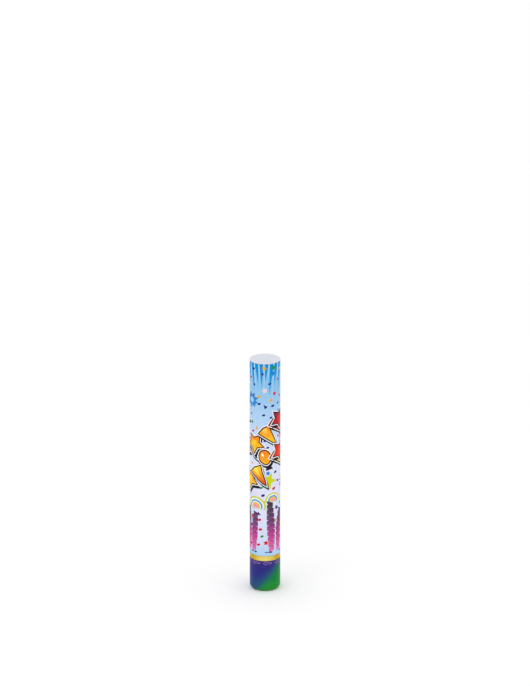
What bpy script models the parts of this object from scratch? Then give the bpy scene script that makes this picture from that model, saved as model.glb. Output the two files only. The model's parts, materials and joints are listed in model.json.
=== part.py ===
"""Party popper with a turning base.

A cardboard barrel full of paper discs turns on a short base. The base holds a bottle of
compressed gas, and a ring of helical ramps round its neck. Turning the barrel drives a
three-armed yoke up the ramps, which draws the plug out of the bottle's neck. The gas then
drives a piston, a felt wad, the confetti and the mouth cap out of the barrel.

The model is in metres with +Z up. Its origin is at the middle of the foot, and the front
of the print is towards -Y.
"""

import math

import bmesh
import bpy
from mathutils import Matrix

# Outside
BODY_RADIUS = 0.025
BODY_HEIGHT = 0.395
BASE_HEIGHT = 0.062
BAND_HEIGHT = 0.0085
BASE_ROUNDING = 0.008
FOOT_WIDTH = 0.004
FOOT_RECESS = 0.0015
FILM = 0.0003

# Walls
CUP_WALL = 0.0018
CUP_FLOOR = 0.0022
TUBE_WALL = 0.0017
COUPLER_WALL = 0.0015
BEARING_WALL = 0.001
GUIDE_WALL = 0.0018

# Clearances
SEAT_GAP = 0.0003
TURN_GAP = 0.0004
SEAL_GAP = 0.0001

# Turning joint between the base and the barrel
COUPLER_FLANGE = 0.004
COUPLER_LIP = 0.0009

# Gas bottle and its cradle
BOTTLE_PLAY = 0.0006
BOTTLE_HEIGHT = 0.112
BOTTLE_WALL = 0.0008
BOTTLE_ROUNDING = 0.004
BOTTLE_DOME = 0.0035
SHOULDER_HEIGHT = 0.012
NECK_HEIGHT = 0.012
NECK_RADIUS = 0.0065
NECK_LIP_RADIUS = 0.0072
NECK_LIP_HEIGHT = 0.0025
NECK_BORE = 0.004
CRADLE_FLOOR = 0.002
CRADLE_RIM = 0.007
CRADLE_VENT = 0.003

# Cam ring and the yoke that climbs it
TWIST_ANGLE = math.radians(60.0)
TWIST_LIFT = 0.006
ARM_COUNT = 3
CAM_STANDOFF = 0.0048
CAM_WEB = 0.003
CAM_SPIGOT = 0.002
CAM_WALL = 0.0016
CLAMP_RADIUS = 0.010
RAMP_INNER = 0.0135
RAMP_START = 0.0008
SHOE_HALF_ANGLE = math.radians(10.0)
RAMP_MARGIN = math.radians(3.0)
SHOE_HEIGHT = 0.0045
SHOE_INSET = 0.0006
ARM_WIDTH = 0.006
ARM_THICKNESS = 0.003
HUB_RADIUS = 0.006
HUB_HEIGHT = 0.006

# Valve plug
PLUG_DEPTH = 0.005
STEM_RADIUS = 0.0022
PLUG_FLANGE = 0.001
PLUG_FLANGE_RADIUS = 0.0055
O_RING_RADIUS = 0.00075
CLIP_THICKNESS = 0.0008
CLIP_RADIUS = 0.0042
CLIP_GROOVE = 0.0004
CLIP_MOUTH = math.radians(70.0)

# Guide, baffle and piston
GUIDE_LENGTH = 0.036
BAFFLE_THICKNESS = 0.003
BAFFLE_SPIGOT = 0.003
BAFFLE_HOLE = 0.0032
BAFFLE_HOLES = 6
PISTON_HEIGHT = 0.032
PISTON_WALL = 0.001
PISTON_CROWN = 0.0018
PISTON_RELIEF = 0.0005
FELT_HEIGHT = 0.008

# Confetti
STACK_COUNT = 4
STACK_PLAY = 0.00076
BUNDLES = 5
BUNDLE_STEP = 0.0003
LEAD_COUNT = 14
LEAD_THICKNESS = 0.0005

# Mouth cap
CAP_PLATE = 0.001
CAP_SKIRT = 0.004
CAP_WALL = 0.001

# Roundness of the turned pieces
OUTER_STEPS = 36
INNER_STEPS = 28
SMALL_STEPS = 24
DISC_STEPS = 16
HOLE_STEPS = 12
CORNER_STEPS = 4
SMOOTH_ANGLE = math.radians(35.0)
EDGE = 0.0004

# Radii, from the outside in
shellRadius = BODY_RADIUS - FILM - SEAT_GAP
cupBore = shellRadius - CUP_WALL
tubeBore = shellRadius - TUBE_WALL
couplerRadius = cupBore - SEAT_GAP
flangeRadius = tubeBore - TURN_GAP
bearingRadius = tubeBore - SEAT_GAP
bearingBore = bearingRadius - BEARING_WALL
couplerNeck = bearingBore - TURN_GAP
couplerBore = couplerNeck - COUPLER_WALL
lipBore = couplerBore - COUPLER_LIP
guideRadius = tubeBore - SEAT_GAP
guideBore = guideRadius - GUIDE_WALL
camRadius = guideBore - TURN_GAP
rampOuter = camRadius - SEAT_GAP
cradleRadius = couplerBore - SEAT_GAP
bottleRadius = lipBore - BOTTLE_PLAY
pistonRadius = tubeBore - TURN_GAP
stackSpread = 1.0 / math.sin(math.pi / STACK_COUNT)
discRadius = (tubeBore - STACK_PLAY - 0.5 * SEAT_GAP * stackSpread) / (1.0 + stackSpread)
stackCentre = (discRadius + 0.5 * SEAT_GAP) * stackSpread

# Levels, from the foot up
cupFloorTop = FOOT_RECESS + CUP_FLOOR
couplerBottom = cupFloorTop + SEAT_GAP
cradleBottom = cupFloorTop + SEAT_GAP
bottleBottom = cradleBottom + CRADLE_FLOOR + SEAT_GAP
shoulderTop = bottleBottom + BOTTLE_HEIGHT - NECK_HEIGHT
shoulderBottom = shoulderTop - SHOULDER_HEIGHT
neckTop = bottleBottom + BOTTLE_HEIGHT
camBottom = shoulderTop + CAM_STANDOFF
camTop = camBottom + CAM_WEB
couplerTop = camBottom - SEAT_GAP
flangeBottom = couplerTop - COUPLER_FLANGE
bearingTop = flangeBottom - TURN_GAP
barrelBottom = BASE_HEIGHT + TURN_GAP
rampRest = camTop + RAMP_START
rampPitch = TWIST_LIFT / TWIST_ANGLE
armBottom = max(rampRest + rampPitch * (SHOE_HALF_ANGLE + RAMP_MARGIN) + SHOE_HEIGHT,
                neckTop + 2 * SEAT_GAP + PLUG_FLANGE)
hubTop = armBottom + HUB_HEIGHT
clipBottom = hubTop + SEAT_GAP
guideBottom = couplerTop + TURN_GAP
guideTop = guideBottom + GUIDE_LENGTH
baffleBottom = guideTop + SEAT_GAP
pistonBottom = baffleBottom + BAFFLE_THICKNESS + SEAT_GAP
feltBottom = pistonBottom + PISTON_HEIGHT + SEAT_GAP
stackBottom = feltBottom + FELT_HEIGHT + SEAT_GAP
barrelTop = BODY_HEIGHT - CAP_PLATE - SEAT_GAP
leadTop = BODY_HEIGHT - CAP_PLATE - CAP_SKIRT - SEAT_GAP
leadStep = LEAD_THICKNESS + SEAT_GAP
stackTop = leadTop - LEAD_COUNT * leadStep


def clear_scene():
    for obj in list(bpy.data.objects):
        bpy.data.objects.remove(obj, do_unlink=True)


def new_collection(name):
    collection = bpy.data.collections.new(name)
    bpy.context.scene.collection.children.link(collection)
    return collection


def finish_of(name, colour, roughness, metallic=0.0):
    """A Principled material with the piece's own colour."""
    material = bpy.data.materials.new(name)
    material.use_nodes = True
    shader = material.node_tree.nodes["Principled BSDF"]
    shader.inputs["Base Color"].default_value = (*colour, 1.0)
    shader.inputs["Roughness"].default_value = roughness
    shader.inputs["Metallic"].default_value = metallic
    material.diffuse_color = (*colour, 1.0)
    return material


def add_axis(name, level, collection, parent=None):
    """An empty on the popper's axis, which carries the pieces of one moving body."""
    empty = bpy.data.objects.new(name, None)
    empty.empty_display_size = BODY_RADIUS
    collection.objects.link(empty)
    place_under(empty, parent, level)
    return empty


def place_under(obj, parent, level):
    """Parents an object and puts its origin on the popper's axis, at a level in the world."""
    bpy.context.view_layer.update()
    obj.parent = parent
    obj.location.z = level - (parent.matrix_world.translation.z if parent else 0.0)


def corner(centreR, centreZ, radiusR, radiusZ, start, end, steps=CORNER_STEPS):
    """Points of a round or oval corner, from one angle in degrees to another."""
    points = []
    for i in range(steps + 1):
        angle = math.radians(start + (end - start) * i / steps)
        points.append((centreR + radiusR * math.cos(angle), centreZ + radiusZ * math.sin(angle)))
    return points


def turned(name, outline, steps, closed=False):
    """A mesh turned round Z. The outline runs down its outer side and back up its bore."""
    edges = [(i, i + 1) for i in range(len(outline) - 1)]
    if closed:
        edges.append((len(outline) - 1, 0))
    mesh = bpy.data.meshes.new(name)
    mesh.from_pydata([(r, 0.0, z) for r, z in outline], edges, [])
    obj = bpy.data.objects.new(name, mesh)
    bpy.context.scene.collection.objects.link(obj)
    screw = obj.modifiers.new("Turn", "SCREW")
    screw.steps = steps
    screw.render_steps = steps
    screw.use_merge_vertices = True
    screw.merge_threshold = 0.00001
    return obj


def boxes(name, sizes, places):
    """One mesh of boxes, each of its own size and placed by its own matrix."""
    shape = bmesh.new()
    for size, place in zip(sizes, places):
        bmesh.ops.create_cube(shape, size=1.0, matrix=place @ Matrix.Diagonal((*size, 1.0)))
    return object_of(name, shape)


def rods(name, radius, length, places, steps=HOLE_STEPS):
    """One mesh of upright cylinders, each centred on its own point."""
    shape = bmesh.new()
    for place in places:
        bmesh.ops.create_cone(shape, cap_ends=True, segments=steps, radius1=radius,
                              radius2=radius, depth=length, matrix=Matrix.Translation(place))
    return object_of(name, shape)


def sector(name, inner, outer, low, high, start, end, steps):
    """A piece of a ring whose lower and upper faces follow two functions of the angle."""
    shape = bmesh.new()
    rings = []
    for i in range(steps + 1):
        angle = start + (end - start) * i / steps
        section = [(inner, low(angle)), (outer, low(angle)), (outer, high(angle)),
                   (inner, high(angle))]
        rings.append([shape.verts.new((r * math.cos(angle), r * math.sin(angle), z))
                      for r, z in section])
    for ring, following in zip(rings, rings[1:]):
        for i in range(len(ring)):
            j = (i + 1) % len(ring)
            shape.faces.new((ring[i], ring[j], following[j], following[i]))
    shape.faces.new(reversed(rings[0]))
    shape.faces.new(rings[-1])
    bmesh.ops.recalc_face_normals(shape, faces=shape.faces)
    return object_of(name, shape)


def object_of(name, shape):
    mesh = bpy.data.meshes.new(name)
    shape.to_mesh(mesh)
    shape.free()
    obj = bpy.data.objects.new(name, mesh)
    bpy.context.scene.collection.objects.link(obj)
    return obj


def joined_with(obj, tool, operation):
    """Adds or cuts a tool, which stays in the cutters' collection as a wire guide."""
    change = obj.modifiers.new(tool.name, "BOOLEAN")
    change.operation = operation
    change.solver = "EXACT"
    change.object = tool
    bpy.context.scene.collection.objects.unlink(tool)
    cutters.objects.link(tool)
    tool.hide_render = True
    tool.display_type = "WIRE"


def keep(obj, material, parent, level=0.0):
    """Settles a shape into its final mesh, shades it, and puts it on its body's axis."""
    graph = bpy.context.evaluated_depsgraph_get()
    mesh = bpy.data.meshes.new_from_object(obj.evaluated_get(graph))
    mesh.name = obj.name
    mesh.materials.clear()
    mesh.shade_smooth()
    mesh.set_sharp_from_angle(angle=SMOOTH_ANGLE)
    obj.modifiers.clear()
    obj.data = mesh
    mesh.materials.append(material)
    bpy.context.scene.collection.objects.unlink(obj)
    parts.objects.link(obj)
    place_under(obj, parent, level)
    return obj


def ring(outer, bore, height, edge=EDGE):
    """The outline of a plain tube, with its outer edges broken."""
    return [(outer - edge, height), (outer, height - edge), (outer, edge), (outer - edge, 0.0),
            (bore, 0.0), (bore, height)]


def ramp_height(angle):
    """Level of a ramp's face, at an angle counted from the shoe's middle at rest."""
    return rampRest + rampPitch * (angle + SHOE_HALF_ANGLE + RAMP_MARGIN)


def shoulder_level(radius):
    """Level of the bottle's shoulder, outside, at a radius."""
    share = (radius - NECK_RADIUS) / (bottleRadius - NECK_RADIUS)
    return shoulderBottom + SHOULDER_HEIGHT * math.sqrt(1.0 - share * share)


def base_cup():
    """The moulded cup that the hand holds: round bottom edge, foot ring and open top."""
    footOuter = shellRadius - BASE_ROUNDING
    footInner = footOuter - FOOT_WIDTH
    outline = [(0.0, cupFloorTop), (cupBore, cupFloorTop), (cupBore, BASE_HEIGHT),
               (shellRadius - EDGE, BASE_HEIGHT), (shellRadius, BASE_HEIGHT - EDGE)]
    outline += corner(footOuter, BASE_ROUNDING, BASE_ROUNDING, BASE_ROUNDING, 0, -90, 5)
    outline += [(footInner, 0.0), (footInner - FOOT_RECESS, FOOT_RECESS), (0.0, FOOT_RECESS)]
    keep(turned("base_cup", outline, OUTER_STEPS),
         finish_of("cup_plastic", (0.05, 0.05, 0.22), 0.45), base)


def base_wrap():
    """The printed film on the cup, which turns in under the round edge."""
    inner = shellRadius + SEAT_GAP
    centre = shellRadius - BASE_ROUNDING
    top = BASE_HEIGHT - BAND_HEIGHT - SEAT_GAP
    turnIn = -60
    roundingIn = BASE_ROUNDING + SEAT_GAP
    outline = [(BODY_RADIUS, top)]
    outline += corner(centre, BASE_ROUNDING, roundingIn + FILM, roundingIn + FILM, 0, turnIn)
    outline += corner(centre, BASE_ROUNDING, roundingIn, roundingIn, turnIn, 0)
    outline += [(inner, top)]
    keep(turned("base_wrap", outline, OUTER_STEPS, closed=True),
         finish_of("base_print", (0.03, 0.05, 0.25), 0.3), base)


def gold_band():
    """The foil band at the top of the base, along the split line."""
    outline = ring(BODY_RADIUS, shellRadius + SEAT_GAP, BAND_HEIGHT, 0.25 * FILM)
    keep(turned("gold_band", outline, OUTER_STEPS, closed=True),
         finish_of("gold_foil", (0.83, 0.62, 0.06), 0.25, 0.8), base, BASE_HEIGHT - BAND_HEIGHT)


def coupler_tube():
    """The tube fixed in the cup. Its neck is the barrel's axle and its flange holds it on."""
    neckBottom = BASE_HEIGHT - SEAT_GAP
    outline = [(flangeRadius, couplerTop), (flangeRadius, flangeBottom), (couplerNeck, flangeBottom),
               (couplerNeck, neckBottom), (couplerRadius, neckBottom - EDGE),
               (couplerRadius, couplerBottom), (couplerBore, couplerBottom),
               (couplerBore, flangeBottom - COUPLER_LIP), (lipBore, flangeBottom),
               (lipBore, couplerTop)]
    keep(turned("coupler_tube", outline, OUTER_STEPS, closed=True),
         finish_of("coupler_plastic", (0.82, 0.82, 0.8), 0.5), base)


def bottle_cradle():
    """The dished seat on the cup's floor that centres the bottle, with vent holes."""
    seatBore = bottleRadius + SEAT_GAP
    rimTop = CRADLE_FLOOR + CRADLE_RIM
    ventCircle = 0.55 * bottleRadius
    outline = [(0.0, CRADLE_FLOOR), (seatBore - BOTTLE_ROUNDING, CRADLE_FLOOR)]
    outline += corner(seatBore - BOTTLE_ROUNDING, CRADLE_FLOOR + BOTTLE_ROUNDING, BOTTLE_ROUNDING,
                      BOTTLE_ROUNDING, -60, 0, 3)
    outline += [(seatBore, rimTop), (cradleRadius, rimTop), (cradleRadius, 0.0), (0.0, 0.0)]
    cradle = turned("bottle_cradle", outline, INNER_STEPS)
    vents = [(ventCircle * math.cos(angle), ventCircle * math.sin(angle), 0.5 * CRADLE_FLOOR)
             for angle in (2 * math.pi * i / ARM_COUNT for i in range(ARM_COUNT))]
    joined_with(cradle, rods("cradle_vents", CRADLE_VENT, 3 * CRADLE_FLOOR, vents),
                "DIFFERENCE")
    keep(cradle, finish_of("cradle_plastic", (0.75, 0.75, 0.73), 0.55), base, cradleBottom)


def gas_bottle():
    """The drawn steel bottle: domed bottom, oval shoulder and a lipped neck that is open."""
    inner = bottleRadius - BOTTLE_WALL
    standing = bottleRadius - BOTTLE_ROUNDING
    height = BOTTLE_HEIGHT
    neckBottom = height - NECK_HEIGHT
    bodyTop = neckBottom - SHOULDER_HEIGHT
    innerRounding = BOTTLE_ROUNDING - BOTTLE_WALL
    outline = corner(0.0, BOTTLE_WALL, standing, BOTTLE_DOME, 90, 15)
    outline += corner(standing, BOTTLE_ROUNDING, innerRounding, innerRounding, -60, 0, 3)
    outline += corner(NECK_BORE, bodyTop, inner - NECK_BORE, SHOULDER_HEIGHT - BOTTLE_WALL, 0, 90)
    outline += [(NECK_BORE, height), (NECK_LIP_RADIUS - EDGE, height),
                (NECK_LIP_RADIUS, height - EDGE), (NECK_LIP_RADIUS, height - NECK_LIP_HEIGHT),
                (NECK_RADIUS, height - NECK_LIP_HEIGHT - EDGE)]
    outline += corner(NECK_RADIUS, bodyTop, bottleRadius - NECK_RADIUS, SHOULDER_HEIGHT, 90, 0, 5)
    outline += corner(standing, BOTTLE_ROUNDING, BOTTLE_ROUNDING, BOTTLE_ROUNDING, 0, -90, 3)
    outline += corner(0.0, 0.0, standing - BOTTLE_WALL, BOTTLE_DOME, 0, 90)
    keep(turned("gas_bottle", outline, SMALL_STEPS),
         finish_of("bottle_steel", (0.6, 0.61, 0.63), 0.3, 1.0), base, bottleBottom)


def cam_ring():
    """The ring clamped round the bottle's neck, with one helical ramp for each arm."""
    spigot = lipBore - SEAT_GAP
    clampOuter = CLAMP_RADIUS + CAM_WALL
    clampBottom = shoulder_level(CLAMP_RADIUS) + SEAT_GAP
    bore = NECK_LIP_RADIUS + TURN_GAP
    outline = [(camRadius, camTop), (camRadius, camBottom), (spigot, camBottom),
               (spigot, camBottom - CAM_SPIGOT), (spigot - CAM_WALL, camBottom - CAM_SPIGOT),
               (spigot - CAM_WALL, camBottom), (clampOuter, camBottom), (clampOuter, clampBottom),
               (CLAMP_RADIUS, clampBottom), (CLAMP_RADIUS, camBottom), (bore, camBottom),
               (bore, camTop)]
    cam = turned("cam_ring", outline, INNER_STEPS, closed=True)
    reach = SHOE_HALF_ANGLE + RAMP_MARGIN
    for i in range(ARM_COUNT):
        turn = 2 * math.pi * i / ARM_COUNT
        ramp = sector(f"cam_ramp_{i + 1}", RAMP_INNER, rampOuter,
                      lambda angle: camTop - 0.5 * CAM_WEB,
                      lambda angle: ramp_height(angle - turn),
                      turn - reach, turn + TWIST_ANGLE + reach, 12)
        joined_with(cam, ramp, "UNION")
    keep(cam, finish_of("cam_plastic", (0.86, 0.35, 0.05), 0.4), base)


def barrel_tube():
    """The cardboard tube that holds everything above the split line."""
    outline = ring(shellRadius, tubeBore, barrelTop - barrelBottom)
    keep(turned("barrel_tube", outline, OUTER_STEPS, closed=True),
         finish_of("cardboard", (0.62, 0.56, 0.46), 0.85), barrel, barrelBottom)


def label_wrap():
    """The printed paper wound round the barrel."""
    outline = ring(BODY_RADIUS, shellRadius + SEAT_GAP, barrelTop - barrelBottom, 0.25 * FILM)
    keep(turned("label_wrap", outline, OUTER_STEPS, closed=True),
         finish_of("label_print", (0.25, 0.55, 0.85), 0.35), barrel, barrelBottom)


def bearing_sleeve():
    """The sleeve glued in the barrel's foot, which turns on the coupler's neck."""
    outline = ring(bearingRadius, bearingBore, bearingTop - barrelBottom)
    keep(turned("bearing_sleeve", outline, OUTER_STEPS, closed=True),
         finish_of("sleeve_plastic", (0.9, 0.9, 0.88), 0.4), barrel, barrelBottom)


def guide_sleeve():
    """The slotted sleeve glued in the barrel, whose slots carry the yoke's arms round."""
    sleeve = turned("guide_sleeve", ring(guideRadius, guideBore, GUIDE_LENGTH), OUTER_STEPS,
                    closed=True)
    slotWidth = ARM_WIDTH + 2 * TURN_GAP
    slotTop = armBottom + ARM_THICKNESS + TWIST_LIFT + 2 * SEAT_GAP - guideBottom
    slotHeight = slotTop + 2 * SEAT_GAP
    sizes = [(2 * GUIDE_WALL + BODY_RADIUS, slotWidth, slotHeight)] * ARM_COUNT
    middle = Matrix.Translation((BODY_RADIUS, 0.0, slotTop - 0.5 * slotHeight))
    places = [Matrix.Rotation(2 * math.pi * i / ARM_COUNT, 4, "Z") @ middle
              for i in range(ARM_COUNT)]
    joined_with(sleeve, boxes("guide_slots", sizes, places), "DIFFERENCE")
    keep(sleeve, finish_of("guide_plastic", (0.9, 0.88, 0.8), 0.4), barrel, guideBottom)


def gas_baffle():
    """The drilled disc on the guide, which spreads the gas and carries the piston."""
    spigot = guideBore - SEAT_GAP
    bore = spigot - CAM_WALL
    rim = guideRadius
    top = BAFFLE_THICKNESS
    outline = [(0.0, top), (rim - EDGE, top), (rim, top - EDGE), (rim, 0.0), (spigot, 0.0),
               (spigot, -BAFFLE_SPIGOT), (bore, -BAFFLE_SPIGOT), (bore, 0.0), (0.0, 0.0)]
    baffle = turned("gas_baffle", outline, INNER_STEPS)
    circle = 0.6 * bore
    middles = [(0.0, 0.0, 0.5 * top)]
    for i in range(BAFFLE_HOLES):
        angle = 2 * math.pi * i / BAFFLE_HOLES
        middles.append((circle * math.cos(angle), circle * math.sin(angle), 0.5 * top))
    holes = rods("baffle_holes", BAFFLE_HOLE, 3 * BAFFLE_THICKNESS, middles)
    joined_with(baffle, holes, "DIFFERENCE")
    keep(baffle, finish_of("baffle_plastic", (0.8, 0.8, 0.82), 0.45), barrel, baffleBottom)


def valve_plug():
    """The plug in the bottle's neck, with its stem up through the yoke's hub."""
    head = NECK_BORE - SEAT_GAP
    groove = NECK_BORE - SEAL_GAP - 2 * O_RING_RADIUS - SEAL_GAP
    grooveHalf = O_RING_RADIUS + SEAL_GAP
    grooveMiddle = neckTop - 0.55 * PLUG_DEPTH
    bottom = neckTop - PLUG_DEPTH
    clipTop = clipBottom + CLIP_THICKNESS
    stemTop = clipTop + 4 * EDGE
    clipSeat = STEM_RADIUS - CLIP_GROOVE
    flangeTop = armBottom - SEAT_GAP
    outline = [(0.0, stemTop), (STEM_RADIUS - EDGE, stemTop), (STEM_RADIUS, stemTop - EDGE),
               (STEM_RADIUS, clipTop + SEAL_GAP), (clipSeat, clipTop + SEAL_GAP),
               (clipSeat, clipBottom - SEAL_GAP), (STEM_RADIUS, clipBottom - SEAL_GAP),
               (STEM_RADIUS, flangeTop), (PLUG_FLANGE_RADIUS, flangeTop),
               (PLUG_FLANGE_RADIUS, neckTop + SEAT_GAP), (head, neckTop + SEAT_GAP),
               (head, grooveMiddle + grooveHalf), (groove, grooveMiddle + grooveHalf),
               (groove, grooveMiddle - grooveHalf), (head, grooveMiddle - grooveHalf),
               (head, bottom + EDGE), (head - EDGE, bottom), (0.0, bottom)]
    keep(turned("valve_plug", outline, SMALL_STEPS),
         finish_of("plug_brass", (0.78, 0.6, 0.3), 0.3, 1.0), plug)
    bpy.ops.mesh.primitive_torus_add(major_segments=SMALL_STEPS, minor_segments=6,
                                     major_radius=NECK_BORE - SEAL_GAP - O_RING_RADIUS,
                                     minor_radius=O_RING_RADIUS, location=(0.0, 0.0, 0.0))
    seal = bpy.context.object
    seal.name = "plug_o_ring"
    for collection in list(seal.users_collection):
        collection.objects.unlink(seal)
    bpy.context.scene.collection.objects.link(seal)
    keep(seal, finish_of("seal_rubber", (0.02, 0.02, 0.02), 0.7), plug, grooveMiddle)


def lift_yoke():
    """The hub and arms that climb the ramps. Each arm's shoe has the ramp's own slope."""
    bore = STEM_RADIUS + SEAT_GAP
    outline = [(HUB_RADIUS - EDGE, hubTop), (HUB_RADIUS, hubTop - EDGE), (HUB_RADIUS, armBottom),
               (bore, armBottom), (bore, hubTop)]
    yoke = turned("lift_yoke", outline, SMALL_STEPS, closed=True)
    armEnd = guideRadius - 2 * TURN_GAP
    armStart = 0.5 * (bore + HUB_RADIUS)
    armRise = armBottom + EDGE
    for i in range(ARM_COUNT):
        turn = 2 * math.pi * i / ARM_COUNT
        middle = Matrix.Translation((0.5 * (armStart + armEnd), 0.0, armRise + 0.5 * ARM_THICKNESS))
        arm = boxes(f"yoke_arm_{i + 1}", [(armEnd - armStart, ARM_WIDTH, ARM_THICKNESS)],
                    [Matrix.Rotation(turn, 4, "Z") @ middle])
        joined_with(yoke, arm, "UNION")
        shoe = sector(f"yoke_shoe_{i + 1}", RAMP_INNER + SHOE_INSET, rampOuter - SHOE_INSET,
                      lambda angle: ramp_height(angle - turn) + SEAT_GAP,
                      lambda angle: armRise + 0.5 * ARM_THICKNESS,
                      turn - SHOE_HALF_ANGLE, turn + SHOE_HALF_ANGLE, 4)
        joined_with(yoke, shoe, "UNION")
    keep(yoke, finish_of("yoke_plastic", (0.1, 0.35, 0.75), 0.4), plug)


def yoke_clip():
    """The open clip in the stem's groove that holds the plug in the yoke."""
    clip = sector("yoke_clip", STEM_RADIUS - CLIP_GROOVE + SEAL_GAP, CLIP_RADIUS,
                  lambda angle: 0.0, lambda angle: CLIP_THICKNESS,
                  0.5 * CLIP_MOUTH, 2 * math.pi - 0.5 * CLIP_MOUTH, 16)
    keep(clip, finish_of("clip_steel", (0.55, 0.56, 0.58), 0.35, 1.0), plug, clipBottom)


def piston_cup():
    """The cardboard piston: a cup, open downwards, with a waist between two lips."""
    bore = pistonRadius - PISTON_RELIEF - PISTON_WALL
    waist = pistonRadius - PISTON_RELIEF
    lip = 0.15 * PISTON_HEIGHT
    top = PISTON_HEIGHT
    under = top - PISTON_CROWN
    outline = [(0.0, top), (pistonRadius - 2 * EDGE, top), (pistonRadius, top - 2 * EDGE),
               (pistonRadius, top - lip), (waist, top - lip - PISTON_RELIEF),
               (waist, lip + PISTON_RELIEF), (pistonRadius, lip), (pistonRadius, 0.0),
               (bore, 0.0)]
    outline += corner(bore - PISTON_CROWN, under - PISTON_CROWN, PISTON_CROWN, PISTON_CROWN, 0, 90, 3)
    outline += [(0.0, under)]
    keep(turned("piston_cup", outline, INNER_STEPS),
         finish_of("piston_board", (0.55, 0.45, 0.33), 0.85), wad, pistonBottom)


def felt_wad():
    """The felt disc between the piston and the confetti."""
    soft = 3 * EDGE
    outline = [(0.0, FELT_HEIGHT)]
    outline += corner(pistonRadius - soft, FELT_HEIGHT - soft, soft, soft, 90, 0, 2)
    outline += corner(pistonRadius - soft, soft, soft, soft, 0, -90, 2)
    outline += [(0.0, 0.0)]
    keep(turned("felt_wad", outline, INNER_STEPS),
         finish_of("grey_felt", (0.45, 0.44, 0.43), 0.95), wad, feltBottom)


def confetti_stacks():
    """The paper discs of the charge, stacked side by side in bundles."""
    height = stackTop - stackBottom
    bundle = height / BUNDLES
    step = BUNDLE_STEP
    outline = [(0.0, height)]
    for i in range(BUNDLES, 0, -1):
        top = i * bundle
        outline += [(discRadius - step, top), (discRadius, top - step),
                    (discRadius, top - bundle + step)]
    outline += [(discRadius - step, 0.0), (0.0, 0.0)]
    colours = [(0.3, 0.75, 0.1), (0.75, 0.1, 0.3), (0.35, 0.25, 0.8), (0.95, 0.8, 0.2)]
    for i in range(STACK_COUNT):
        angle = 2 * math.pi * (i + 0.5) / STACK_COUNT
        paper = finish_of(f"tissue_stack_{i + 1}", colours[i % len(colours)], 0.8)
        stack = keep(turned(f"confetti_stack_{i + 1}", outline, DISC_STEPS), paper, charge,
                     stackBottom)
        stack.location.x = stackCentre * math.cos(angle)
        stack.location.y = stackCentre * math.sin(angle)


def confetti_leads():
    """The loose discs on top of the stacks, which lead the burst along spread paths."""
    for i in range(LEAD_COUNT):
        level = leadTop - i * leadStep - 0.5 * LEAD_THICKNESS
        share = i / LEAD_COUNT
        colour = (0.3 + 0.6 * share, 0.8 - 0.6 * share, 0.2 + 0.5 * abs(1 - 2 * share))
        disc = rods(f"confetti_lead_{i + 1:02d}", discRadius, LEAD_THICKNESS, [(0.0, 0.0, 0.0)],
                    DISC_STEPS)
        keep(disc, finish_of(f"tissue_lead_{i + 1:02d}", colour, 0.8), barrel, level)


def mouth_cap():
    """The cap over the mouth: a flat plate on the tube's edge and a skirt in its bore."""
    skirt = tubeBore - SEAT_GAP
    bore = skirt - CAP_WALL
    top = CAP_SKIRT + CAP_PLATE
    outline = [(0.0, top), (BODY_RADIUS - 0.5 * CAP_PLATE, top)]
    outline += corner(BODY_RADIUS - 0.5 * CAP_PLATE, top - 0.5 * CAP_PLATE, 0.5 * CAP_PLATE,
                      0.5 * CAP_PLATE, 60, 0, 2)
    outline += [(BODY_RADIUS, CAP_SKIRT), (skirt, CAP_SKIRT), (skirt, EDGE), (skirt - EDGE, 0.0),
                (bore, 0.0), (bore, CAP_SKIRT), (0.0, CAP_SKIRT)]
    keep(turned("mouth_cap", outline, OUTER_STEPS),
         finish_of("cap_plastic", (0.72, 0.73, 0.8), 0.4), cap, BODY_HEIGHT - top)


clear_scene()
parts = new_collection("party_popper")
cutters = new_collection("cutters")
base = add_axis("base_axis", 0.0, parts)
barrel = add_axis("barrel_axis", barrelBottom, parts, base)
plug = add_axis("plug_axis", neckTop, parts, barrel)
wad = add_axis("wad_axis", pistonBottom, parts, barrel)
charge = add_axis("charge_axis", stackBottom, parts, barrel)
cap = add_axis("cap_axis", barrelTop, parts, barrel)

base_cup()
base_wrap()
gold_band()
coupler_tube()
bottle_cradle()
gas_bottle()
cam_ring()
barrel_tube()
label_wrap()
bearing_sleeve()
guide_sleeve()
gas_baffle()
valve_plug()
lift_yoke()
yoke_clip()
piston_cup()
felt_wad()
confetti_stacks()
confetti_leads()
mouth_cap()
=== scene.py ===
import json
import random
from math import asin, atan2, cos, degrees, hypot, pi, radians, sin, sqrt

import bmesh
import bpy
import numpy as np
from mathutils import Matrix, Vector
from mathutils.geometry import delaunay_2d_cdt

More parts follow.
